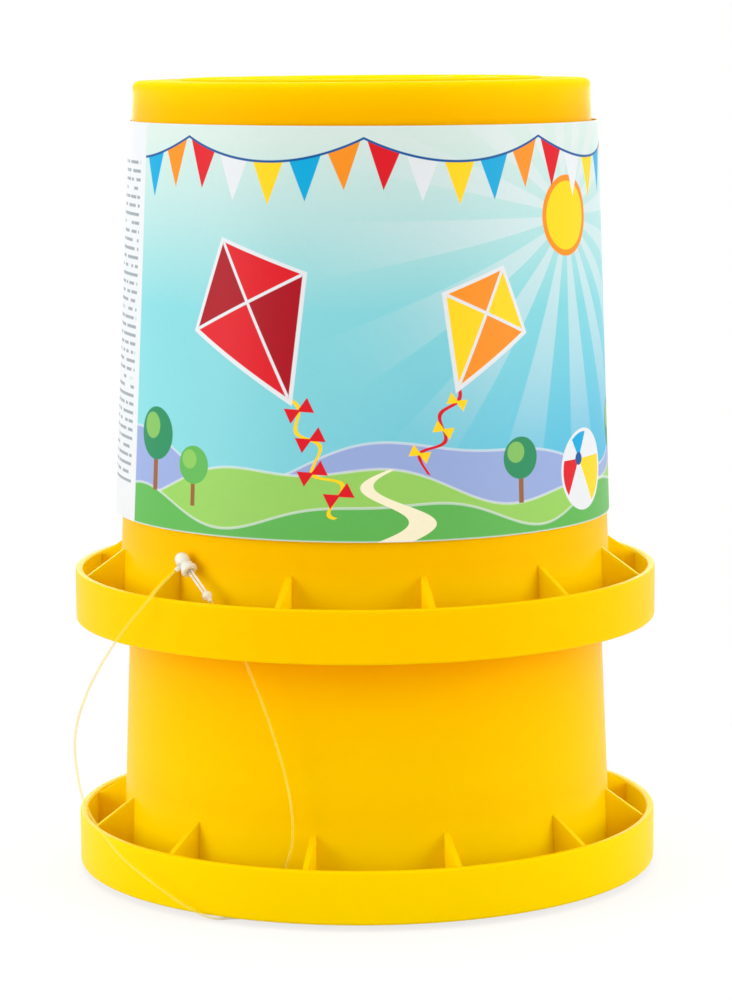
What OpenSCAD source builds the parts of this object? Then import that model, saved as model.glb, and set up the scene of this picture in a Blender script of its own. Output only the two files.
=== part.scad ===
// Pot stilts: two tapered step pots with ribbed saucer flanges, nested as a stack,
// with a printed paper sleeve round the upper pot and a nylon loop tag through both flanges.
// Millimetres, +Z up, origin at the centre of the lower pot's foot.

/* [Pot] */
// Outer radius of the wall where it meets the flange
base_r = 68; // [65:0.5:74]
// Outer radius that the wall tapers to at the deck
deck_r = 62; // [57:0.5:63]
// Height of a pot from the flange's underside to the deck
pot_h = 146.8; // [130:0.2:170]
// Thickness of the wall, measured level
wall_t = 2.5; // [1.8:0.1:3.2]
// Thickness of the deck
deck_t = 3; // [2:0.5:5]
// Rounding of the edge between the wall and the deck
deck_fillet = 1.8; // [1:0.2:4]
// Rounding of the corner under the deck, inside the pot
inner_fillet = 1.5; // [0.5:0.5:3]
// Height that the foot ring stands below the flange
foot_h = 1.6; // [1.4:0.1:3]

/* [Deck] */
// Number of raised grip rings on the deck
ring_n = 3; // [1:1:4]
// Outer radius of the outermost grip ring
ring_r = 49; // [44:0.5:50]
// Spacing of the grip rings
ring_step = 12; // [8:0.5:14]
// Width of a grip ring
ring_w = 3; // [2:0.5:5]
// Height of a grip ring above the deck
ring_h = 0.5; // [0.4:0.1:2]
// Rounding of a grip ring's upper edges
ring_round = 0.3; // [0.2:0.1:0.4]
// Diameter of the two holes for a pull cord
cord_hole_d = 7; // [5:0.5:8]
// Turn of the cord holes from the first gusset, in degrees
cord_hole_turn = -32; // [-90:1:90]

/* [Flange] */
// Width of the flange, from the wall to the outside of its rim
flange_w = 12; // [10:0.5:20]
// Height of the rim above the flange's underside
rim_h = 14.2; // [10:0.1:20]
// Thickness of the rim
rim_t = 2; // [1.6:0.1:3]
// Thickness of the flange's floor
floor_t = 2; // [1.5:0.1:3]
// Rounding of the rim's lower edge
rim_round = 0.8; // [0.3:0.1:1.5]
// Rounding of the rim's two upper edges
lip_round = 0.6; // [0.2:0.1:0.7]
// Number of gussets between the wall and the rim
gusset_n = 12; // [6:1:18]
// Thickness of a gusset
gusset_t = 1.5; // [1:0.1:3]
// Height that a gusset climbs up the wall above the rim
gusset_rise = 6.5; // [3:0.5:9]
// Depth below the rim's top at which a gusset meets the rim
gusset_drop = 1; // [0.8:0.1:3]

/* [Stack] */
// Clearance between the nested walls, measured level
nest_gap = 0.28; // [0.2:0.02:0.5]
// Turn of the lower pot about the upright axis, in degrees
lower_turn = 18; // [0:0.5:30]
// Turn of the upper pot about the upright axis, in degrees
upper_turn = 13; // [0:0.5:30]

/* [Sleeve] */
// Height of the sleeve's lower edge above the upper flange's underside
sleeve_low = 29.8; // [28:0.2:40]
// Bare band of wall between the sleeve and the deck
sleeve_bare = 10.9; // [6:0.1:30]
// Thickness of the paper
paper_t = 0.4; // [0.3:0.1:0.8]
// Mean clearance between the sleeve and the wall
sleeve_gap = 0.8; // [0.5:0.1:1.5]
// Clearance that is left where the leaning sleeve comes closest
seat_gap = 0.25; // [0.2:0.05:0.4]
// Angle that the glued lap at the back covers, in degrees
lap_angle = 12; // [6:1:20]

/* [Tag] */
// Diameter of the nylon thread
thread_d = 0.7; // [0.5:0.1:0.9]
// Diameter of the hole in each flange that the thread passes through
tag_hole_d = 4; // [3.5:0.1:6]
// Turn of the tag hole from the first gusset, in degrees
tag_hole_turn = -129; // [-134:1:-127]
// Radius of the lock head
head_r = 1.9; // [1.6:0.1:2.1]
// Length of the lock head
head_l = 6.4; // [5:0.2:7]
// Radius of the collar round the lock head's mouth
collar_r = 2.2; // [2.1:0.1:2.4]
// Width of that collar
collar_w = 1.1; // [0.8:0.1:1.6]
// Radius of the plug's stem
stem_r = 0.75; // [0.6:0.05:0.9]
// Length of the stem that is pushed into the lock head
stem_in = 3.6; // [2.5:0.1:4]
// Radius of the bead that stops the plug
bead_r = 1.3; // [1.1:0.1:1.6]
// Radius of the lug and the nose where the thread begins and ends
lug_r = 0.75; // [0.6:0.05:0.9]
// Clearance of the stem in the lock head
stem_gap = 0.05; // [0.03:0.01:0.1]
// Clearance of the thread's ends from the lug and the nose
thread_gap = 0.1; // [0.05:0.05:0.3]

/* [Hidden] */
$fn = 128;

pot_yellow = [1, 0.8, 0];
paper_blue = [0.62, 0.86, 0.88];
nylon_white = [0.95, 0.95, 0.9];

// Points on a rounded corner of an outline
arc_steps = 6;
// How far one solid is sunk into the one it is moulded with
sink = 0.8;
// How far a cut runs past the face it opens
past = 1;

taper = (base_r - deck_r) / pot_h;
taper_angle = atan(taper);
flange_r = base_r + flange_w;
rim_in = flange_r - rim_t;
gusset_top = rim_h + gusset_rise;
gusset_end = rim_h - gusset_drop;
ceiling = pot_h - deck_t;

// The upper pot seats where the tapered walls wedge, or on the gussets if it meets them first;
// a pot with too little taper to slip over the other stands on its deck
stand_h = pot_h + foot_h + nest_gap;
wedge_h = taper > 0 ? (wall_t + nest_gap) / taper : stand_h;
nest_h = max(gusset_top + nest_gap, min(wedge_h, stand_h));
upper_z = foot_h + nest_h;
cord_hole_r = (ring_r + deck_r - deck_fillet) / 2;
tag_hole_r = (base_r + rim_in) / 2;
sleeve_h = pot_h - sleeve_low - sleeve_bare;
sleeve_lean = atan((sleeve_gap - seat_gap) / (sleeve_h / 2));

// The tag lies loose, so its places are chosen by hand: the lock head leans on the upper wall,
// and the thread runs over the upper rim, out and down, under the lower rim, up through both holes.
lock_at = [-47.3, -51.4, 91.9];
bead_at = [-41.1, -59, 84.4];
thread_path = [
    [-49.5, -52.6, 90], [-51.15, -53.5, 88.575], [-53.7, -56.8, 86.3], [-56.9, -60, 82.7],
    [-61, -60, 78], [-66, -57, 71], [-72, -51.5, 60.5], [-76, -47, 50.5],
    [-77.5, -44.5, 42.5], [-77, -44.5, 34.5], [-75, -47.5, 27], [-70.5, -52, 20.5],
    [-64.5, -57.5, 14.5], [-57, -62.5, 9.5], [-49.5, -67, 5.2], [-44, -69.3, 2.5],
    [-39.8, -69, 1], [-35.5, -68, 0.8], [-31.3, -68, 0.8], [-28.2, -68.2, 0.8],
    [-26.8, -68.2, 1.1], [-25.6, -68.1, 2], [-24.9, -68.1, 3.6], [-24, -68.3, 7],
    [-21.4, -69, 14], [-19.5, -69.6, 21], [-19.4, -69.6, 28.5], [-20.9, -69.2, 38],
    [-23.7, -68.4, 48], [-27, -67.2, 58], [-30.2, -66.2, 66], [-32.2, -65.4, 71],
    [-34.9, -64.2, 75.6], [-38.04, -62.76, 80.69], [-39.97, -60.39, 83.03]];
thread_sides = 8;
rings_per_span = 2;

function wall_out(z) = base_r - taper * z;
function wall_in(z) = wall_out(z) - wall_t;
function unit(v) = v / norm(v);

// Points of an arc about a centre, from one angle to another
function arc(centre, r, from, to) =
    [for (i = [0:arc_steps]) let (a = from + (to - from) * i / arc_steps) centre + r * [cos(a), sin(a)]];

// Centre of a rounding between the tapered wall at radius r(z) and a level face above it
function shoulder(r_at_centre, top, round) = [r_at_centre - round / cos(taper_angle), top - round];

// Stands a shape's +Z along a direction, with its origin at a point
module along(from, direction) {
    polar = acos(direction[2] / norm(direction));
    turn = atan2(direction[1], direction[0]);
    translate(from) rotate([0, polar, turn]) children();
}

// Foot, flange, rim, wall and deck as one moulded section
module pot_section() {
    polygon(concat(
        [[wall_in(-foot_h), -foot_h], [wall_out(-foot_h), -foot_h], [wall_out(0), 0]],
        arc([flange_r - rim_round, rim_round], rim_round, -90, 0),
        arc([flange_r - lip_round, rim_h - lip_round], lip_round, 0, 90),
        arc([rim_in + lip_round, rim_h - lip_round], lip_round, 90, 180),
        [[rim_in, floor_t], [wall_out(floor_t), floor_t]],
        arc(shoulder(wall_out(pot_h - deck_fillet), pot_h, deck_fillet), deck_fillet, taper_angle, 90),
        [[0, pot_h], [0, ceiling]],
        arc(shoulder(wall_in(ceiling - inner_fillet), ceiling, inner_fillet), inner_fillet, 90, taper_angle)));
}

// One raised grip ring with rounded upper edges
module grip_ring(outer_r) {
    top = pot_h + ring_h - ring_round;
    rotate_extrude()
        polygon(concat(
            [[outer_r - ring_w, pot_h - sink], [outer_r, pot_h - sink]],
            arc([outer_r - ring_round, top], ring_round, 0, 90),
            arc([outer_r - ring_w + ring_round, top], ring_round, 90, 180)));
}

// One web that falls from the wall to the rim
module gusset() {
    wall_r = wall_out(gusset_top);
    fall = (gusset_top - gusset_end) / (rim_in - wall_r);
    rotate([90, 0, 0])
        linear_extrude(gusset_t, center = true)
            polygon([
                [wall_r - sink, floor_t - sink], [rim_in + sink, floor_t - sink],
                [rim_in + sink, gusset_end - fall * sink], [wall_r - sink, gusset_top + fall * sink]]);
}

module pot() {
    difference() {
        union() {
            rotate_extrude() pot_section();
            for (i = [0:ring_n - 1]) grip_ring(ring_r - i * ring_step);
            for (i = [0:gusset_n - 1]) rotate([0, 0, i * 360 / gusset_n]) gusset();
        }
        for (side = [0, 180])
            rotate([0, 0, cord_hole_turn + side])
                translate([cord_hole_r, 0, ceiling - past])
                    cylinder(h = deck_t + 2 * past, d = cord_hole_d);
        rotate([0, 0, tag_hole_turn])
            translate([tag_hole_r, 0, -past])
                cylinder(h = floor_t + 2 * past, d = tag_hole_d);
    }
}

module lower_pot() {
    color(pot_yellow) translate([0, 0, foot_h]) rotate([0, 0, lower_turn]) pot();
}

module upper_pot() {
    color(pot_yellow) translate([0, 0, upper_z]) rotate([0, 0, upper_turn]) pot();
}

// A wrap of paper of one or two thicknesses, from one layer's inside to another's outside
module paper_section(inside, outside) {
    low_r = wall_out(sleeve_low) + sleeve_gap;
    top_r = wall_out(sleeve_low + sleeve_h) + sleeve_gap;
    polygon([
        [low_r + inside, 0], [low_r + outside, 0],
        [top_r + outside, sleeve_h], [top_r + inside, sleeve_h]]);
}

// The sleeve leans to the right about its middle, and its lap is glued at the back
module paper_sleeve() {
    color(paper_blue)
        translate([0, 0, upper_z + sleeve_low + sleeve_h / 2])
            rotate([0, sleeve_lean, 0])
                translate([0, 0, -sleeve_h / 2]) {
                    rotate_extrude() paper_section(0, paper_t);
                    rotate([0, 0, 90 - lap_angle / 2])
                        rotate_extrude(angle = lap_angle) paper_section(paper_t / 2, 2 * paper_t);
                }
}

// Barrel with a round end, a collared mouth for the stem and a lug where the thread begins
module tag_head() {
    lug_axis = thread_path[0] - lock_at;
    mouth = head_l / 2;
    color(nylon_white)
        difference() {
            union() {
                along(lock_at, bead_at - lock_at)
                    rotate_extrude()
                        polygon(concat(
                            arc([0, head_r - mouth], head_r, -90, 0),
                            [[head_r, mouth - collar_w], [collar_r, mouth - collar_w],
                             [collar_r, mouth], [0, mouth]]));
                along(lock_at, lug_axis) cylinder(h = norm(lug_axis) - thread_gap, r = lug_r);
            }
            along(lock_at, bead_at - lock_at)
                translate([0, 0, mouth - stem_in - stem_gap])
                    cylinder(h = stem_in + past, r = stem_r + stem_gap);
        }
}

// Stem that snaps into the lock head, with a stop bead and a nose where the thread ends, in one line
module tag_plug() {
    stem_axis = bead_at - lock_at;
    bead_z = norm(stem_axis);
    nose_z = norm(thread_path[len(thread_path) - 1] - lock_at) - thread_gap;
    color(nylon_white)
        along(lock_at, stem_axis)
            rotate_extrude()
                polygon(concat(
                    [[0, head_l / 2 - stem_in], [stem_r, head_l / 2 - stem_in]],
                    arc([0, bead_z], bead_r, -acos(stem_r / bead_r), acos(lug_r / bead_r)),
                    [[lug_r, nose_z], [0, nose_z]]));
}

// Point on the smooth curve through a list of points, past point i by share t of a span
function on_curve(p, i, t) =
    let (
        last = len(p) - 1,
        a = i > 0 ? p[i - 1] : 2 * p[0] - p[1],
        b = p[i],
        c = p[i + 1],
        d = i + 2 <= last ? p[i + 2] : 2 * p[last] - p[last - 1])
    (2 * b + t * (c - a) + t * t * (2 * a - 5 * b + 4 * c - d) + t * t * t * (3 * b - a - 3 * c + d)) / 2;

function ring_centres(p) = concat(
    [for (i = [0:len(p) - 2]) for (k = [0:rings_per_span - 1]) on_curve(p, i, k / rings_per_span)],
    [p[len(p) - 1]]);

function directions(c) =
    [for (i = [0:len(c) - 1]) unit(c[min(i + 1, len(c) - 1)] - c[max(i - 1, 0)])];

// Side directions carried along the curve without twisting
function carried(t, i, side) =
    i == len(t) ? [] : let (s = unit(side - (side * t[i]) * t[i])) concat([s], carried(t, i + 1, s));

module tube(path, d) {
    centres = ring_centres(path);
    t = directions(centres);
    side = carried(t, 0, cross(t[0], [0, 0, 1]));
    n = len(centres);
    points = [
        for (k = [0:n - 1]) for (j = [0:thread_sides - 1])
            let (a = j * 360 / thread_sides)
                centres[k] + d / 2 * (cos(a) * side[k] + sin(a) * cross(t[k], side[k]))];
    skin = [
        for (k = [0:n - 2]) for (j = [0:thread_sides - 1])
            let (e = (j + 1) % thread_sides, low = k * thread_sides, high = low + thread_sides)
                each [[low + j, high + j, high + e], [low + j, high + e, low + e]]];
    end = (n - 1) * thread_sides;
    caps = [
        for (j = [1:thread_sides - 2])
            each [[0, j, j + 1], [end, end + j + 1, end + j]]];
    polyhedron(points, concat(skin, caps));
}

module tag_thread() {
    color(nylon_white) tube(thread_path, thread_d);
}

lower_pot();
upper_pot();
paper_sleeve();
tag_head();
tag_plug();
tag_thread();
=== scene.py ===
import math

import bpy
from mathutils import Matrix, Vector


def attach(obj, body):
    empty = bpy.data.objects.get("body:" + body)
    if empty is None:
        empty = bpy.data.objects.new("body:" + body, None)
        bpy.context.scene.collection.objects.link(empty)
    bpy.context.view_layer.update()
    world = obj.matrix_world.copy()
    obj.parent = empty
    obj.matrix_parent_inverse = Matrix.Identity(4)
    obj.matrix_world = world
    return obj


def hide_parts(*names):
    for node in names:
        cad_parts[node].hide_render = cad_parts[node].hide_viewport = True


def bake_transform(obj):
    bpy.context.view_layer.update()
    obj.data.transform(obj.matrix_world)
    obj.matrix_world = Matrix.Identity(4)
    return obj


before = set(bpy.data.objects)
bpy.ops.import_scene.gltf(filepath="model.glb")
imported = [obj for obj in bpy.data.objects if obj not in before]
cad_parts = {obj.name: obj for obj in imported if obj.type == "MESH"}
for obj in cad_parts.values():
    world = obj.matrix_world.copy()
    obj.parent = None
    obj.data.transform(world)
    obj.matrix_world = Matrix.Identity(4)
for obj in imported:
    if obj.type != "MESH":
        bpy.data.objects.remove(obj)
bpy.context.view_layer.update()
scene = bpy.context.scene
print("frame loaded with", len(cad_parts), "nodes")


# Shader maths: a socket that takes part in Python sums
class Wire:
    def __init__(self, tree, socket=None):
        self.tree = tree
        self.socket = socket

    # any node by its type, with settings first and then the values or links of its sockets
    def node(self, kind, settings=None, sockets=None, out=0):
        made = self.tree.nodes.new("ShaderNode" + kind)
        for name, value in (settings or {}).items():
            if name == "stops":
                setStops(made.color_ramp, value)
            elif name == "bands":
                made.color_ramp.interpolation = "CONSTANT"
            else:
                setattr(made, name, value)
        for name, value in (sockets or {}).items():
            if isinstance(value, Wire):
                self.tree.links.new(value.socket, made.inputs[name])
            else:
                made.inputs[name].default_value = value
        return Wire(self.tree, made.outputs[out])

    def math(self, operation, *others):
        return self.node("Math", {"operation": operation}, dict(enumerate((self,) + others)))

    # values meet in Math, vectors in Vector Math and colours in Mix
    def meet(self, operation, first, second):
        kinds = {w.socket.type for w in (first, second) if isinstance(w, Wire)}
        if "RGBA" in kinds:
            settings = {"data_type": "RGBA", "blend_type": operation}
            return self.node("Mix", settings, {0: 1, 6: asColour(first), 7: asColour(second)}, 2)
        if "VECTOR" in kinds:
            sockets = {0: asVector(first), 1: asVector(second)}
            return self.node("VectorMath", {"operation": operation}, sockets)
        return self.node("Math", {"operation": operation}, {0: first, 1: second})

    def __add__(self, other):
        return self.meet("ADD", self, other)

    def __radd__(self, other):
        return self.meet("ADD", other, self)

    def __sub__(self, other):
        return self.meet("SUBTRACT", self, other)

    def __rsub__(self, other):
        return self.meet("SUBTRACT", other, self)

    def __mul__(self, other):
        return self.meet("MULTIPLY", self, other)

    def __rmul__(self, other):
        return self.meet("MULTIPLY", other, self)

    def __truediv__(self, other):
        return self.meet("DIVIDE", self, other)

    def __abs__(self):
        return self.math("ABSOLUTE")

    # 0 below low, 1 above high and smooth between
    def rise(self, low, high):
        sockets = {"Value": self, "From Min": low, "From Max": high}
        return self.node("MapRange", {"interpolation_type": "SMOOTHSTEP"}, sockets)

    # this colour with another one laid over it where the mask is 1
    def over(self, colour, mask):
        return self.node("Mix", {"data_type": "RGBA"}, {0: mask, 6: self, 7: asColour(colour)}, 2)


def setStops(ramp, stops):
    while len(ramp.elements) < len(stops):
        ramp.elements.new(1)
    for element, (place, colour) in zip(ramp.elements, stops):
        element.position = place
        element.color = asColour(colour)


def asColour(value):
    if isinstance(value, Wire):
        return value
    if isinstance(value, (int, float)):
        return (value, value, value, 1)
    return tuple(value) + (1,) if len(value) == 3 else tuple(value)


def asVector(value):
    return (value, value, value) if isinstance(value, (int, float)) else value


# a colour as a screen shows it, from 0 to 255, in the linear light that shaders use
def ink(red, green, blue):
    def linear(part):
        part /= 255
        return part / 12.92 if part <= 0.04045 else ((part + 0.055) / 1.055) ** 2.4
    return (linear(red), linear(green), linear(blue), 1)


def startMaterial(name, plain):
    material = bpy.data.materials.new(name)
    material.use_nodes = True
    shader = material.node_tree.nodes["Principled BSDF"]
    for socket, value in plain.items():
        shader.inputs[socket].default_value = value
    return material, shader, Wire(material.node_tree)


def connect(shader, sockets):
    for name, wire in sockets.items():
        wire.tree.links.new(wire.socket, shader.inputs[name])


def noise(start, place, scale, detail=2.0):
    return start.node("TexNoise", None, {"Vector": place, "Scale": scale, "Detail": detail})


# Mesh tools
def meshPiece(name, points, faces, material, smooth=True):
    mesh = bpy.data.meshes.new(name)
    mesh.from_pydata([tuple(p) for p in points], [], faces)
    mesh.materials.append(material)
    mesh.polygons.foreach_set("use_smooth", [smooth] * len(mesh.polygons))
    mesh.update()
    piece = bpy.data.objects.new(name, mesh)
    scene.collection.objects.link(piece)
    return piece


# a smooth curve through points, with the ends carried straight on
def smoothLine(points, steps):
    ends = [2 * points[0] - points[1]] + points + [2 * points[-1] - points[-2]]
    line = []
    for i in range(1, len(ends) - 2):
        a, b, c, d = ends[i - 1:i + 3]
        for k in range(steps):
            t = k / steps
            cubic = 3 * b - a - 3 * c + d
            square = 2 * a - 5 * b + 4 * c - d
            line.append((2 * b + t * (c - a) + t * t * square + t ** 3 * cubic) / 2)
    return line + [points[-1]]


# rings of points round a line, each ring at its own radius, closed at both ends
def tubeAlong(line, radii, sides):
    points, faces = [], []
    side = (line[1] - line[0]).orthogonal()
    for i, centre in enumerate(line):
        ahead = (line[min(i + 1, len(line) - 1)] - line[max(i - 1, 0)]).normalized()
        side = (side - side.dot(ahead) * ahead).normalized()
        other = ahead.cross(side)
        for k in range(sides):
            turn = 2 * math.pi * k / sides
            points.append(centre + radii[i] * (math.cos(turn) * side + math.sin(turn) * other))
    for i in range(len(line) - 1):
        for k in range(sides):
            low, nextSide = i * sides, (k + 1) % sides
            faces.append((low + k, low + nextSide, low + sides + nextSide, low + sides + k))
    faces.append(tuple(range(sides - 1, -1, -1)))
    faces.append(tuple(range(len(points) - sides, len(points))))
    return points, faces


# Camera at the photograph's angle; the sensor's width lies along the frame's long side
camera = {
    "place": (0, -0.911, 0.2291),
    "pitchDown": 0.1398,
    "imageTurn": 0.0078,
    "lens": 119.77,
    "sensor": 36,
    "shiftX": 0.0014,
    "clip": (0.01, 50),
}


def makeCamera():
    data = bpy.data.cameras.new("camera")
    data.lens = camera["lens"]
    data.sensor_width = camera["sensor"]
    data.shift_x = camera["shiftX"]
    data.clip_start, data.clip_end = camera["clip"]
    made = bpy.data.objects.new("camera", data)
    pitch = Matrix.Rotation(math.pi / 2 - camera["pitchDown"], 4, "X")
    turn = Matrix.Rotation(-camera["imageTurn"], 4, "Z")
    made.matrix_world = Matrix.Translation(camera["place"]) @ pitch @ turn
    scene.collection.objects.link(made)
    scene.camera = made


makeCamera()
print("camera set")


# Loop tag: translucent nylon thread, lock head and plug
tag = {
    "lockAt": Vector((-0.0473, -0.0514, 0.0919)),
    "beadAt": Vector((-0.0411, -0.059, 0.0844)),
    "threadDiameter": 0.0007,
    "threadSides": 12,
    "stepsPerSpan": 6,
    "latheSides": 32,
    "lockPlain": {
        "Transmission Weight": 0.15, "IOR": 1.3, "Specular IOR Level": 0.5,
        "Subsurface Weight": 0.6, "Subsurface Radius": (1.0, 0.9, 0.7), "Subsurface Scale": 0.002},
    "lockInks": (ink(248, 240, 216), ink(255, 252, 240)),
    "threadPlain": {"Alpha": 0.34, "IOR": 1.3, "Specular IOR Level": 0.3},
    # the thread's warm yellow is painted light: it stands in for the yellow pot seen through the clear nylon
    "threadPaintedPotYellow": (ink(246, 226, 84), ink(252, 236, 104)),
    "cloudScale": 140,
    "roughness": (0.14, 0.12),
    "sharpAngle": math.radians(50),
    "blendFrom": (0, 0, 0.005),
    "blendTo": (0, 0, 0.068),
    # radius and place along the lock head's axis in millimetres, from its round end to the mouth
    "headProfile": [
        (0.0, -3.2), (0.5, -3.14), (0.98, -2.94), (1.4, -2.58), (1.7, -2.1), (1.86, -1.5), (1.9, -0.9),
        (1.87, -0.3), (1.78, 0.1), (1.6, 0.35), (1.55, 0.6), (1.62, 0.85), (1.8, 1.05), (1.88, 1.4),
        (1.9, 1.9), (1.95, 2.1), (2.12, 2.16), (2.2, 2.3), (2.2, 2.95), (2.14, 3.1), (2.0, 3.2),
        (1.1, 3.2), (0.95, 3.1), (0.9, 2.9), (0.9, 0.2), (0.0, 0.2)],
    # the same for the bead with its nose, from the stem's side
    "beadProfile": [
        (0.0, -1.1), (0.62, -1.08), (0.9, -0.94), (1.14, -0.62), (1.27, -0.26), (1.3, 0.0), (1.27, 0.26),
        (1.14, 0.62), (0.92, 0.9), (0.72, 1.06), (0.6, 1.3), (0.5, 1.8), (0.42, 2.14), (0.0, 2.22)],
    "rodRadius": 0.00031,
    "rodSides": 12,
    "rodApart": 0.00042,
    # places along a rod from the lock head or back from the bead, and shares of the rods' distance apart
    "rodFromLock": [(0.0006, 0.6), (0.0016, 1)],
    "rodToBead": [(0.0018, 1), (0.0012, 0.9), (0.0004, 0.5)],
    "lugRadius": 0.00066,
    # share of the way from the lock head's centre to the thread, and share of the lug's radius there
    "lugShares": [(0.35, 1.25), (0.6, 1.1), (0.8, 1), (0.95, 0.9), (0.99, 0.7)],
    "threadPoints": [
        (-0.0495, -0.0526, 0.09), (-0.05115, -0.0535, 0.088575), (-0.0537, -0.0568, 0.0863),
        (-0.0569, -0.06, 0.0827), (-0.061, -0.06, 0.078), (-0.066, -0.057, 0.071),
        (-0.072, -0.0515, 0.0605), (-0.076, -0.047, 0.0505), (-0.0775, -0.0445, 0.0425),
        (-0.077, -0.0445, 0.0345), (-0.075, -0.0475, 0.027), (-0.0705, -0.052, 0.0205),
        (-0.0645, -0.0575, 0.0145), (-0.057, -0.0625, 0.0095), (-0.0495, -0.067, 0.0052),
        (-0.044, -0.0693, 0.0025), (-0.0398, -0.069, 0.001), (-0.0355, -0.068, 0.0008),
        (-0.0313, -0.068, 0.0008), (-0.0282, -0.0682, 0.0008), (-0.0268, -0.0682, 0.0011),
        (-0.0256, -0.0681, 0.002), (-0.0249, -0.0681, 0.0036), (-0.024, -0.0683, 0.007),
        (-0.0214, -0.069, 0.014), (-0.0195, -0.0696, 0.021), (-0.0194, -0.0696, 0.0285),
        (-0.0209, -0.0692, 0.038), (-0.0237, -0.0684, 0.048), (-0.027, -0.0672, 0.058),
        (-0.0302, -0.0662, 0.066), (-0.0322, -0.0654, 0.071), (-0.0349, -0.0642, 0.0756),
        (-0.03804, -0.06276, 0.08069), (-0.03997, -0.06039, 0.08303)],
}


def nylonMaterial(name, plain, inks):
    material, shader, start = startMaterial(name, plain)
    place = start.node("TexCoord", out="Object")
    cloud = noise(start, place, tag["cloudScale"])
    warm, pale = inks
    base = start.node("ValToRGB", {"stops": [(0.3, warm), (0.7, pale)]}, {0: cloud})
    smooth, rougher = tag["roughness"]
    connect(shader, {"Base Color": base, "Roughness": smooth + rougher * cloud})
    return material


# points and faces of several closed forms as one mesh
def joined(forms):
    points, faces = [], []
    for formPoints, formFaces in forms:
        first = len(points)
        points += formPoints
        faces += [tuple(first + k for k in face) for face in formFaces]
    return points, faces


# a profile of (radius, place along the axis) in millimetres, turned about the axis
def turnedForm(profile, origin, axis, sides):
    ahead = axis.normalized()
    side = ahead.orthogonal().normalized()
    other = ahead.cross(side)
    points = [origin + ahead * profile[0][1] / 1000]
    for radius, along in profile[1:-1]:
        for k in range(sides):
            turn = 2 * math.pi * k / sides
            spoke = math.cos(turn) * side + math.sin(turn) * other
            points.append(origin + ahead * along / 1000 + spoke * radius / 1000)
    points.append(origin + ahead * profile[-1][1] / 1000)
    last = len(points) - 1
    faces = []
    for k in range(sides):
        nextSide = (k + 1) % sides
        faces.append((0, 1 + nextSide, 1 + k))
        for i in range(len(profile) - 3):
            low = 1 + i * sides
            faces.append((low + k, low + nextSide, low + sides + nextSide, low + sides + k))
        low = last - sides
        faces.append((low + k, low + nextSide, last))
    return points, faces


def makeThread(material):
    points = [Vector(p) for p in tag["threadPoints"]]
    line = smoothLine(points, tag["stepsPerSpan"])
    radius = tag["threadDiameter"] / 2
    thread = meshPiece("tagThread", *tubeAlong(line, [radius] * len(line), tag["threadSides"]), material)
    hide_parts("tag_thread")
    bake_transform(thread)
    length = sum((b - a).length for a, b in zip(line, line[1:]))
    return length


def makeHead(material):
    lock, bead = tag["lockAt"], tag["beadAt"]
    barrel = turnedForm(tag["headProfile"], lock, bead - lock, tag["latheSides"])
    lugLine = Vector(tag["threadPoints"][0]) - lock
    lugEnds = [lock + lugLine * along for along, wide in tag["lugShares"]]
    lugRadii = [tag["lugRadius"] * wide for along, wide in tag["lugShares"]]
    lug = tubeAlong(lugEnds, lugRadii, tag["latheSides"] // 2)
    head = meshPiece("tagHead", *joined([barrel, lug]), material)
    head.data.set_sharp_from_angle(angle=tag["sharpAngle"])
    return fitTag(head, "tag_head")


# the stem is two thin rods side by side, so that light shows between them
def makePlug(material):
    lock, bead = tag["lockAt"], tag["beadAt"]
    axis = (bead - lock).normalized()
    side = axis.cross(Vector((0, 1, 0))).normalized()
    forms = [turnedForm(tag["beadProfile"], bead, axis, tag["latheSides"])]
    for way in (-1, 1):
        aside = side * way * tag["rodApart"]
        ends = [lock + axis * along + aside * wide for along, wide in tag["rodFromLock"]]
        ends += [bead - axis * along + aside * wide for along, wide in tag["rodToBead"]]
        forms.append(tubeAlong(ends, [tag["rodRadius"]] * len(ends), tag["rodSides"]))
    plug = meshPiece("tagPlug", *joined(forms), material)
    plug.data.set_sharp_from_angle(angle=tag["sharpAngle"])
    return fitTag(plug, "tag_plug")


def fitTag(piece, node):
    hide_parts(node)
    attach(piece, "upper")
    return piece


lockNylon = nylonMaterial("lockNylon", tag["lockPlain"], tag["lockInks"])
threadNylon = nylonMaterial("threadNylon", tag["threadPlain"], tag["threadPaintedPotYellow"])
tagFittings = [makeHead(lockNylon), makePlug(lockNylon)]
threadLength = makeThread(threadNylon)
print("tag made, thread of", round(threadLength * 1000), "mm")


# Sleeve: one sheet of coated paper, wrapped round the upper pot and glued at the back
sleeve = {
    "middleZ": 0.152467,
    "height": 0.1061,
    "lowRadius": 0.067582,
    "topRadius": 0.063246,
    "lean": math.radians(0.594),
    "skew": 0.0047,
    "paper": 0.00036,
    "lapAngle": math.radians(12),
    "lapRise": math.radians(4),
    "lapGap": 0.00003,
    "ripple": 0.00011,
    # share, count round the sheet, phase and shift from the lower to the upper edge of each ripple
    "waves": [(1, 5, 1.3, 2), (0.6, 9, -2.1, -3)],
    "columns": 372,
    "rows": 28,
    "sharpAngle": math.radians(40),
}
# millimetres along the print per radian round the pot
sleeve["printRadius"] = 500 * (sleeve["lowRadius"] + sleeve["topRadius"])


def smoothRise(low, high, value):
    share = min(max((value - low) / (high - low), 0), 1)
    return share * share * (3 - 2 * share)


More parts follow.
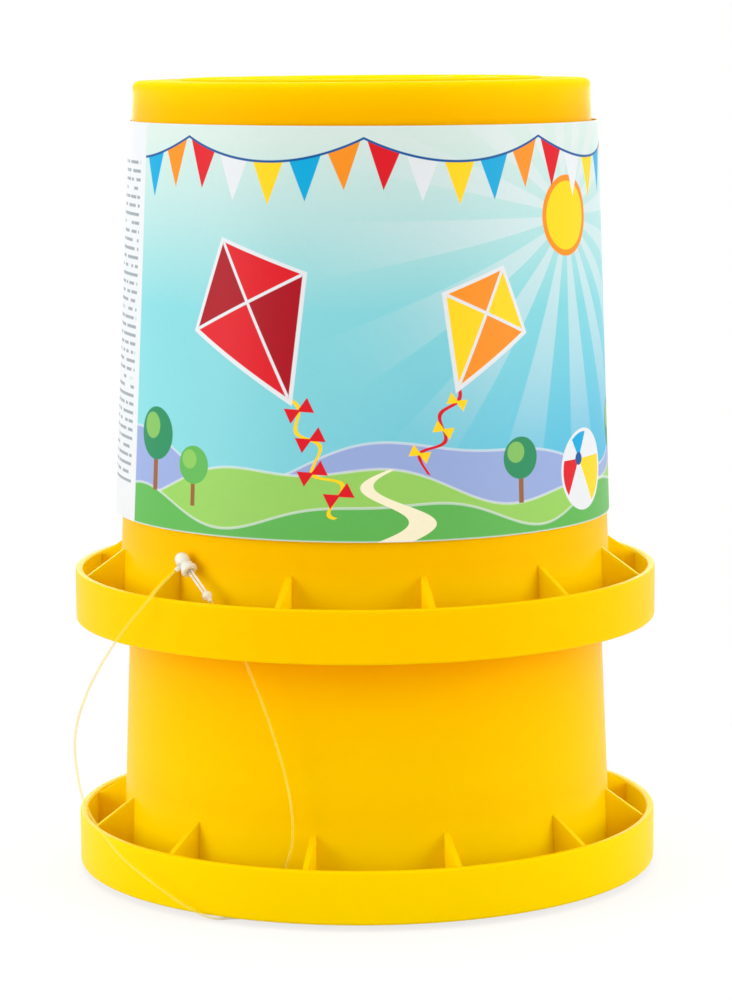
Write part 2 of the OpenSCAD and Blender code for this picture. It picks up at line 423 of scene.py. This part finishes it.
# a point of the sheet: turn 0 faces the viewer, up runs from 0 to 1, outer is 0 inside and 1 outside
def sheetPoint(turn, up, outer):
    lapFrom = math.pi - sleeve["lapAngle"] / 2
    layer = smoothRise(lapFrom - sleeve["lapRise"], lapFrom, turn) * (sleeve["paper"] + sleeve["lapGap"])
    wave, most = 0, 0
    for share, count, phase, shift in sleeve["waves"]:
        wave += share * math.sin(count * turn + phase + shift * up)
        most += share
    ripple = sleeve["ripple"] * (wave / (2 * most) + 0.5)
    radius = sleeve["lowRadius"] + (sleeve["topRadius"] - sleeve["lowRadius"]) * up
    radius += layer + ripple + outer * sleeve["paper"]
    across = radius * math.sin(turn)
    high = (up - 0.5) * sleeve["height"] + sleeve["skew"] * across
    return Vector((across, -radius * math.cos(turn), high))


def makeSleeve(materials):
    columns, rows = sleeve["columns"], sleeve["rows"]
    half = math.pi + sleeve["lapAngle"] / 2
    leaned = Matrix.Translation((0, 0, sleeve["middleZ"])) @ Matrix.Rotation(sleeve["lean"], 4, "Y")
    points, onSheet = [], []
    for outer in (1, 0):
        for i in range(columns + 1):
            turn = half * (2 * i / columns - 1)
            for j in range(rows + 1):
                up = j / rows
                points.append(leaned @ sheetPoint(turn, up, outer))
                onSheet.append((turn * sleeve["printRadius"], up * sleeve["height"] * 1000))

    def spot(i, j, outer):
        return (i if outer else i + columns + 1) * (rows + 1) + j

    faces = []
    for i in range(columns):
        for j in range(rows):
            faces.append((spot(i, j, 1), spot(i + 1, j, 1), spot(i + 1, j + 1, 1), spot(i, j + 1, 1)))
    printed = len(faces)
    for i in range(columns):
        for j in range(rows):
            faces.append((spot(i, j + 1, 0), spot(i + 1, j + 1, 0), spot(i + 1, j, 0), spot(i, j, 0)))
        faces.append((spot(i, 0, 0), spot(i + 1, 0, 0), spot(i + 1, 0, 1), spot(i, 0, 1)))
        faces.append((spot(i, rows, 1), spot(i + 1, rows, 1), spot(i + 1, rows, 0), spot(i, rows, 0)))
    for j in range(rows):
        k = columns
        faces.append((spot(0, j, 0), spot(0, j, 1), spot(0, j + 1, 1), spot(0, j + 1, 0)))
        faces.append((spot(k, j, 1), spot(k, j, 0), spot(k, j + 1, 0), spot(k, j + 1, 1)))
    piece = meshPiece("paperSleeve", points, faces, materials[0])
    piece.data.materials.append(materials[1])
    piece.data.polygons.foreach_set("material_index", [int(k >= printed) for k in range(len(faces))])
    layer = piece.data.uv_layers.new(name="sheet")
    for loop in piece.data.loops:
        layer.data[loop.index].uv = onSheet[loop.vertex_index]
    piece.data.set_sharp_from_angle(angle=sleeve["sharpAngle"])
    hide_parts("paper_sleeve")
    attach(piece, "sleeve")


# Print: a kite meadow in flat inks, in millimetres on the sheet from its front and its lower edge
meadow = {
    "inks": {
        "white": ink(225, 228, 230), "grey": ink(150, 160, 166), "cream": ink(246, 238, 205),
        "mint": ink(209, 226, 218), "turquoise": ink(134, 210, 215), "blue": ink(3, 165, 214),
        "navy": ink(10, 84, 150), "red": ink(218, 24, 36), "darkRed": ink(168, 10, 28),
        "yellow": ink(255, 210, 24), "orange": ink(245, 143, 32), "leaf": ink(96, 178, 84),
        "grass": ink(150, 203, 96), "pine": ink(44, 138, 92), "lilac": ink(150, 168, 214),
        "bark": ink(150, 96, 52)},
    "sun": {"at": (63, 82), "radius": 9, "ring": 1.6, "rays": 16, "from": 12, "reach": 85, "strength": 0.5},
    "shore": {"turn": 0.45, "low": 2, "high": 74, "strength": 0.95},
    "bunting": {"spans": 8, "flags": 5, "high": 103, "sag": 6, "flag": 4.3, "tall": 11,
                "inks": ("red", "white", "yellow", "blue", "orange")},
    "kites": [
        {"at": (-31, 61), "turn": 26, "wide": 17, "up": 17, "down": 27, "tail": 33,
         "inks": ("red", "darkRed", "yellow", "white")},
        {"at": (33, 58), "turn": -24, "wide": 12.5, "up": 12, "down": 20, "tail": 24,
         "inks": ("yellow", "orange", "red", "white")},
        {"at": (128, 60), "turn": 18, "wide": 15, "up": 15, "down": 24, "tail": 28,
         "inks": ("red", "darkRed", "yellow", "white")},
        {"at": (186, 64), "turn": -20, "wide": 11, "up": 11, "down": 17, "tail": 20,
         "inks": ("orange", "yellow", "red", "white")},
        {"at": (-180, 60), "turn": 22, "wide": 12, "up": 12, "down": 20, "tail": 24,
         "inks": ("white", "lilac", "red", "navy")}],
    "bowGap": 8,
    # mean height, then height, count and phase of two rounds of waves
    "hills": [
        {"ink": "lilac", "high": 21, "waves": ((5, 4, 0.4), (2.5, 7, 2.0))},
        {"ink": "grass", "high": 14, "waves": ((5, 3, 2.2), (2, 8, 0.3))},
        {"ink": "leaf", "high": 7, "waves": ((3.5, 5, 1.0), (1.5, 9, 4.0))}],
    "path": {"at": 8, "swing": 7, "wide": 0.7, "widen": 0.2, "top": 19, "onHill": "grass"},
    "trees": [
        {"at": (-62, 11), "crown": 7, "ink": "pine"}, {"at": (-47, 8), "crown": 5, "ink": "leaf"},
        {"at": (43, 9), "crown": 5.5, "ink": "pine"}, {"at": (96, 10), "crown": 7, "ink": "pine"},
        {"at": (158, 9), "crown": 6, "ink": "leaf"}, {"at": (-192, 10), "crown": 7, "ink": "pine"}],
    "ball": {"at": (69, 14.5), "radius": 10, "pole": (-2.5, 3), "rim": 0.9, "cap": 0.17,
             "inks": ("red", "white", "yellow", "white", "blue", "white")},
    "panel": {"from": -150, "to": -73, "margin": 3.5, "line": 2.3, "bar": 0.42, "middle": 53, "half": 43},
    "edge": {"wide": 0.55, "full": 0.1, "strength": 0.7},
    "soft": 0.13,
}


# 1 inside a shape and 0 outside, from the signed distance to its edge
def inside(far):
    return 1 - far.rise(-meadow["soft"], meadow["soft"])


def reach(across, up):
    return (across * across + up * up).math("SQRT")


# the place of (along, up) as seen from a point, in axes turned by some degrees
def seenFrom(along, up, at, degrees=0):
    across, rise = along - at[0], up - at[1]
    if not degrees:
        return across, rise
    c, s = math.cos(math.radians(degrees)), math.sin(math.radians(degrees))
    return across * c + rise * s, rise * c - across * s


# bands of plain inks along a value from 0 to 1
def inkBands(start, value, names):
    stops = [(k / len(names), meadow["inks"][name]) for k, name in enumerate(names)]
    return start.node("ValToRGB", {"stops": stops, "bands": True}, {0: value})


def printSky(start, along, up):
    inks, sun = meadow["inks"], meadow["sun"]
    share = up / (sleeve["height"] * 1000)
    stops = [(0.1, inks["turquoise"]), (0.55, inks["turquoise"]), (0.97, inks["mint"])]
    colour = start.node("ValToRGB", {"stops": stops}, {0: share})
    shore = meadow["shore"]
    side = (along / sleeve["printRadius"] - shore["turn"]).math("SINE") * 0.5 + 0.5
    colour = colour.over(inks["blue"], side * (1 - up.rise(shore["low"], shore["high"])) * shore["strength"])
    across, rise = seenFrom(along, up, sun["at"])
    far = reach(across, rise)
    beams = (rise.math("ARCTAN2", across) * sun["rays"]).math("SINE").rise(-0.08, 0.08)
    fade = 1 - far.rise(sun["from"], sun["reach"])
    colour = colour.over(inks["white"], beams * fade * sun["strength"])
    colour = colour.over(inks["orange"], inside(far - sun["radius"] - sun["ring"]))
    return colour.over(inks["yellow"], inside(far - sun["radius"]))


def printHills(start, colour, along, up):
    turn = along / sleeve["printRadius"]
    inks, path = meadow["inks"], meadow["path"]
    crests = {}
    for hill in meadow["hills"]:
        top = up - hill["high"]
        for height, count, phase in hill["waves"]:
            top = top - (turn * count + phase).math("SINE") * height
        colour = colour.over(inks[hill["ink"]], inside(top))
        colour = colour.over(inks["white"], inside(abs(top) - 0.35) * 0.55)
        crests[hill["ink"]] = top
    middle = along - path["at"] - (up * 0.33).math("SINE") * path["swing"]
    wide = abs(middle) - (path["top"] - up) * path["widen"] - path["wide"]
    return colour.over(inks["cream"], inside(wide) * inside(crests[path["onHill"]]))


def printTrees(colour, along, up):
    inks = meadow["inks"]
    for tree in meadow["trees"]:
        across, rise = seenFrom(along, up, tree["at"])
        crown = tree["crown"]
        trunk = inside(abs(across) - 0.14 * crown) * inside(abs(rise - 0.6 * crown) - 0.75 * crown)
        colour = colour.over(inks["bark"], trunk)
        far = reach(across, rise - 2 * crown)
        colour = colour.over(inks[tree["ink"]], inside(far - crown))
        shine = reach(across + 0.28 * crown, rise - 2.28 * crown)
        colour = colour.over(inks["grass"], inside(shine - 0.5 * crown) * 0.7)
    return colour


def printBall(start, colour, along, up):
    ball, inks = meadow["ball"], meadow["inks"]
    across, rise = seenFrom(along, up, ball["at"])
    far = reach(across, rise) - ball["radius"]
    colour = colour.over(inks["white"], inside(far - ball["rim"]))
    poleAcross, poleRise = seenFrom(across, rise, ball["pole"])
    share = poleRise.math("ARCTAN2", poleAcross) / (2 * math.pi) + 0.5
    colour = colour.over(inkBands(start, share, ball["inks"]), inside(far))
    return colour.over(inks["navy"], inside(reach(poleAcross, poleRise) - ball["cap"] * ball["radius"]))


# how far a kite's tail swings aside at a distance down from the kite
def tailSwing(down):
    return (down * 0.55).math("SINE") * (1.2 + 0.07 * down)


def printKite(colour, along, up, kite):
    bowGap = meadow["bowGap"]
    first, second, third, line = [meadow["inks"][name] for name in kite["inks"]]
    across, rise = seenFrom(along, up, kite["at"], kite["turn"])
    down = 0 - rise - kite["down"]
    wave = across - tailSwing(down)
    onTail = inside(0 - down - 0.5) * inside(down - kite["tail"])
    colour = colour.over(third, inside(abs(wave) - 0.55) * onTail)
    knot = ((down / bowGap).math("FLOOR") + 0.5) * bowGap
    aside = abs(across - tailSwing(knot))
    bow = inside(abs(down - knot) - 0.55 * aside - 0.3) * inside(aside - 0.2 * kite["wide"])
    colour = colour.over(first, bow * inside(1 - down) * inside(down - kite["tail"]))
    edge = abs(across) / kite["wide"] + (rise / kite["up"]).math("MAXIMUM", rise / -kite["down"]) - 1
    far = edge * (0.8 * kite["wide"])
    colour = colour.over(line, inside(far - 1.1))
    colour = colour.over(first, inside(far))
    colour = colour.over(second, inside(far) * inside(across * rise))
    spar = inside(abs(across).math("MINIMUM", abs(rise)) - 0.4)
    return colour.over(line, spar * inside(far))


def printBunting(start, colour, along, up):
    bunting, inks = meadow["bunting"], meadow["inks"]
    span = 2 * math.pi * sleeve["printRadius"] / bunting["spans"]
    bow = (along / span).math("FRACT") * 2 - 1
    hang = bunting["high"] - bunting["sag"] * (1 - bow * bow) - up
    flagAlong = along * (bunting["flags"] / span)
    middle = abs(flagAlong.math("FRACT") - 0.5) * (span / bunting["flags"])
    flag = inside(middle - bunting["flag"] * (1 - hang / bunting["tall"])) * inside(0 - hang)
    order = (flagAlong / bunting["flags"]).math("FRACT")
    colour = colour.over(inkBands(start, order, bunting["inks"]), flag)
    return colour.over(inks["navy"], inside(abs(hang) - 0.32))


# a plain side panel with grey bars in the place of small print
def printPanel(start, colour, along, up):
    panel, inks = meadow["panel"], meadow["inks"]
    middle, half = (panel["from"] + panel["to"]) / 2, (panel["to"] - panel["from"]) / 2
    aside = abs(along - middle) - half
    colour = colour.over(inks["white"], inside(aside))
    row = (up / panel["line"]).math("FLOOR")
    word = start.node("CombineXYZ", None, {0: along * 0.3, 1: row * 5.3})
    words = noise(start, word, 1, 0).rise(0.4, 0.43)
    bar = inside(abs((up / panel["line"]).math("FRACT") - 0.5) * panel["line"] - panel["bar"])
    block = inside(aside + panel["margin"]) * inside(abs(up - panel["middle"]) - panel["half"])
    return colour.over(inks["grey"], words * bar * block)


def paperFinish(material, shader, start, colour, plainRoughness):
    place = start.node("TexCoord", out="Object")
    fibre = noise(start, place, 700, 3)
    cloud = noise(start, place, 30, 2)
    bump = start.node("Bump", None, {"Strength": 0.1, "Distance": 0.0001, "Height": fibre})
    colour = colour * (0.97 + 0.04 * fibre + 0.02 * cloud)
    connect(shader, {"Base Color": colour, "Roughness": plainRoughness + 0.12 * cloud, "Normal": bump})
    return material


def printedPaper():
    material, shader, start = startMaterial("printedPaper", {"IOR": 1.5, "Specular IOR Level": 0.13})
    sheet = start.node("UVMap", {"uv_map": "sheet"})
    along = start.node("SeparateXYZ", None, {0: sheet}, "X")
    up = start.node("SeparateXYZ", None, {0: sheet}, "Y")
    colour = printSky(start, along, up)
    colour = printHills(start, colour, along, up)
    colour = printTrees(colour, along, up)
    colour = printBall(start, colour, along, up)
    for kite in meadow["kites"]:
        colour = printKite(colour, along, up, kite)
    colour = printBunting(start, colour, along, up)
    colour = printPanel(start, colour, along, up)
    edge, middle = meadow["edge"], 500 * sleeve["height"]
    worn = (abs(up - middle) - middle).rise(-edge["wide"], -edge["full"])
    colour = colour.over(meadow["inks"]["white"], worn * edge["strength"])
    return paperFinish(material, shader, start, colour, 0.36)


def plainPaper():
    material, shader, start = startMaterial("plainPaper", {"IOR": 1.5, "Specular IOR Level": 0.2})
    place = start.node("TexCoord", out="Object")
    stops = [(0.35, ink(231, 231, 225)), (0.65, ink(240, 240, 235))]
    pulp = start.node("ValToRGB", {"stops": stops}, {0: noise(start, place, 420, 4)})
    return paperFinish(material, shader, start, pulp, 0.55)


makeSleeve([printedPaper(), plainPaper()])
print("sleeve made")


# Pots: moulded yellow plastic whose yellow carries painted light and shade: painted light on the rims, rib
# faces and inward faces, and painted light and shade along the walls' height
pots = {
    "stackHeight": 0.22,
    # each pot's rim yellow, which is painted light, and the yellow of its wall at shares of the stack's
    # height, which is painted light and shade
    "lower_pot": {
        "rim": (1.0, 0.66, 0.0),
        # lower wall: painted light just above the rim, then painted shade deepening the orange towards the
        # top, under the upper pot's flange
        "wall": [
            (0.05, (1.0, 0.7, 0.0)), (0.075, (1.0, 0.67, 0.0)), (0.12, (1.0, 0.575, 0.0)),
            (0.16, (1.0, 0.58, 0.0)), (0.24, (1.0, 0.54, 0.0)), (0.315, (1.0, 0.44, 0.0))]},
    "upper_pot": {
        "rim": (1.0, 0.57, 0.0),
        # upper wall: painted light just above the rim, darker upwards, and lighter again at the deck's edge
        "wall": [
            (0.38, (1.0, 0.63, 0.0)), (0.395, (1.0, 0.6, 0.0)), (0.42, (1.0, 0.525, 0.0)),
            (0.6, (1.0, 0.51, 0.0)), (0.95, (1.0, 0.48, 0.0)), (0.985, (1.0, 0.62, 0.0))]},
    # painted light on the rib faces
    "ribPaintedLight": (1.0, 0.69, 0.0),
    # painted light on faces that look into the pot, lifting their shade
    "innerPaintedLight": (1.0, 0.84, 0.0),
    # shares of the stack's height between which the wall turns into the matt deck
    "deckFrom": 0.968,
    "deckFull": 0.983,
    # radii between which the wall's yellow turns into the rim's lighter yellow, which is painted light
    "rimPaintedLightFrom": 0.0684,
    "rimPaintedLightFull": 0.0738,
    "edgeRound": 0.0004,
    "roughness": {"wall": 0.27, "cloud": 0.12, "deck": 0.4},
    "plain": {
        "IOR": 1.49, "Specular IOR Level": 0.028, "Specular Tint": (1.0, 0.66, 0.03, 1),
        "Subsurface Weight": 0.4, "Subsurface Radius": (1.0, 0.7, 0.1), "Subsurface Scale": 0.003},
}


def plasticMaterial(name, yellowsWithPaintedLight):
    material, shader, start = startMaterial(name, pots["plain"])
    place = start.node("TexCoord", out="Object")
    height = start.node("SeparateXYZ", None, {0: place}, "Z") / pots["stackHeight"]
    flat = place * (1, 1, 0)
    radius = start.node("VectorMath", {"operation": "LENGTH"}, {0: flat}, "Value")
    cloud = noise(start, place, 26, 4)
    peel = noise(start, place, 1100, 2)
    # painted light and shade along the wall's height
    base = start.node("ValToRGB", {"stops": yellowsWithPaintedLight["wall"]}, {0: height})
    # painted light on the rims
    base = base.over(yellowsWithPaintedLight["rim"], radius.rise(pots["rimPaintedLightFrom"], pots["rimPaintedLightFull"]))
    # a rib's face looks along the round, so its normal stands across the radius; these faces get painted
    # light that lifts them out of their shade
    normal = start.node("TexCoord", out="Normal")
    cross = start.node("VectorMath", {"operation": "CROSS_PRODUCT"}, {0: flat, 1: normal})
    rib = abs(start.node("SeparateXYZ", None, {0: cross}, "Z") / radius).rise(0.5, 0.8)
    base = base.over(pots["ribPaintedLight"], rib)
    # faces that look inward get painted light
    outward = start.node("VectorMath", {"operation": "DOT_PRODUCT"}, {0: flat, 1: normal}, "Value") / radius
    base = base.over(pots["innerPaintedLight"], 1 - outward.rise(-0.8, -0.5))
    base = base * (0.975 + 0.05 * cloud)
    rounded = start.node("Bevel", {"samples": 4}, {"Radius": pots["edgeRound"]})
    sockets = {"Strength": 0.1, "Distance": 0.0002, "Height": peel, "Normal": rounded}
    bump = start.node("Bump", None, sockets)
    rough = pots["roughness"]
    onDeck = height.rise(pots["deckFrom"], pots["deckFull"])
    roughness = rough["wall"] + rough["cloud"] * cloud + rough["deck"] * onDeck
    connect(shader, {"Base Color": base, "Roughness": roughness, "Normal": bump})
    return material


for name, material in (("lower_pot", "lowerPlastic"), ("upper_pot", "upperPlastic")):
    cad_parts[name].data.materials[0] = plasticMaterial(material, pots[name])
print("pots finished")


# Stage: a plain pale floor that fades into a white surround
stage = {
    "floorRadius": 8.0,
    "floorSides": 96,
    "floorDrop": 0.00005,
    "floorSeen": 1.0,
    "floorBounce": 0.72,
    "shadowShare": 0.24,
    "fadeFrom": 0.085,
    "fadeTo": 0.22,
    "worldStrength": 0.66,
}


# 1 for what the camera sees directly, in a reflection or through something clear
def seenRays(start):
    kinds = ("Is Camera Ray", "Is Glossy Ray", "Is Transmission Ray")
    direct, mirrored, through = [start.node("LightPath", out=kind) for kind in kinds]
    return (direct + mirrored + through).math("MINIMUM", 1)


def makeFloor():
    material = bpy.data.materials.new("floor")
    material.use_nodes = True
    tree = material.node_tree
    tree.nodes.clear()
    start = Wire(tree)
    place = start.node("TexCoord", out="Object")
    far = start.node("VectorMath", {"operation": "LENGTH"}, {0: place}, "Value")
    seen = seenRays(start)
    white = stage["floorBounce"] + (stage["floorSeen"] - stage["floorBounce"]) * seen
    tint = start.node("CombineColor", None, {0: white, 1: white, 2: white})
    paint = start.node("BsdfDiffuse", None, {"Color": tint})
    glow = start.node("Emission", None, {"Color": (1, 1, 1, 1), "Strength": 1})
    near = 1 - far.rise(stage["fadeFrom"], stage["fadeTo"])
    both = start.node("MixShader", None, {0: (1 - stage["shadowShare"] * near) * seen, 1: paint, 2: glow})
    output = tree.nodes.new("ShaderNodeOutputMaterial")
    tree.links.new(both.socket, output.inputs["Surface"])
    sides = stage["floorSides"]
    turns = [2 * math.pi * k / sides for k in range(sides)]
    ring = [Vector((math.cos(turn), math.sin(turn), 0)) * stage["floorRadius"] for turn in turns]
    floor = meshPiece("floor", ring, [tuple(range(sides))], material, smooth=False)
    floor.location.z = -stage["floorDrop"]


def makeWorld():
    world = bpy.data.worlds.new("studio")
    scene.world = world
    world.use_nodes = True
    start = Wire(world.node_tree)
    background = world.node_tree.nodes["Background"]
    background.inputs["Color"].default_value = (1, 1, 1, 1)
    level = stage["worldStrength"]
    strength = level + (1 - level) * seenRays(start)
    world.node_tree.links.new(strength.socket, background.inputs["Strength"])


# Lamps: a softbox on each side, one above and a weaker one behind
lamps = {
    "left": {"place": (-1.15, -0.5, 0.36), "size": (0.7, 0.8), "power": 7.5},
    "right": {"place": (1.15, -0.5, 0.36), "size": (0.7, 0.8), "power": 6.9},
    "top": {"place": (0.0, 0.12, 1.4), "size": (1.0, 0.8), "power": 7.0},
    "back": {"place": (0.0, 1.25, 0.5), "size": (1.2, 0.7), "power": 6.5},
}
lampTarget = Vector((0, 0, 0.11))


def makeLamps():
    for name, facts in lamps.items():
        data = bpy.data.lights.new(name + "Softbox", "AREA")
        data.shape = "RECTANGLE"
        data.size, data.size_y = facts["size"]
        data.energy = facts["power"]
        lamp = bpy.data.objects.new(name + "Softbox", data)
        lamp.location = facts["place"]
        lamp.rotation_euler = (lampTarget - lamp.location).to_track_quat("-Z", "Y").to_euler()
        scene.collection.objects.link(lamp)


makeFloor()
makeWorld()
makeLamps()
scene.view_settings.view_transform = "Standard"
print("stage and lamps set")
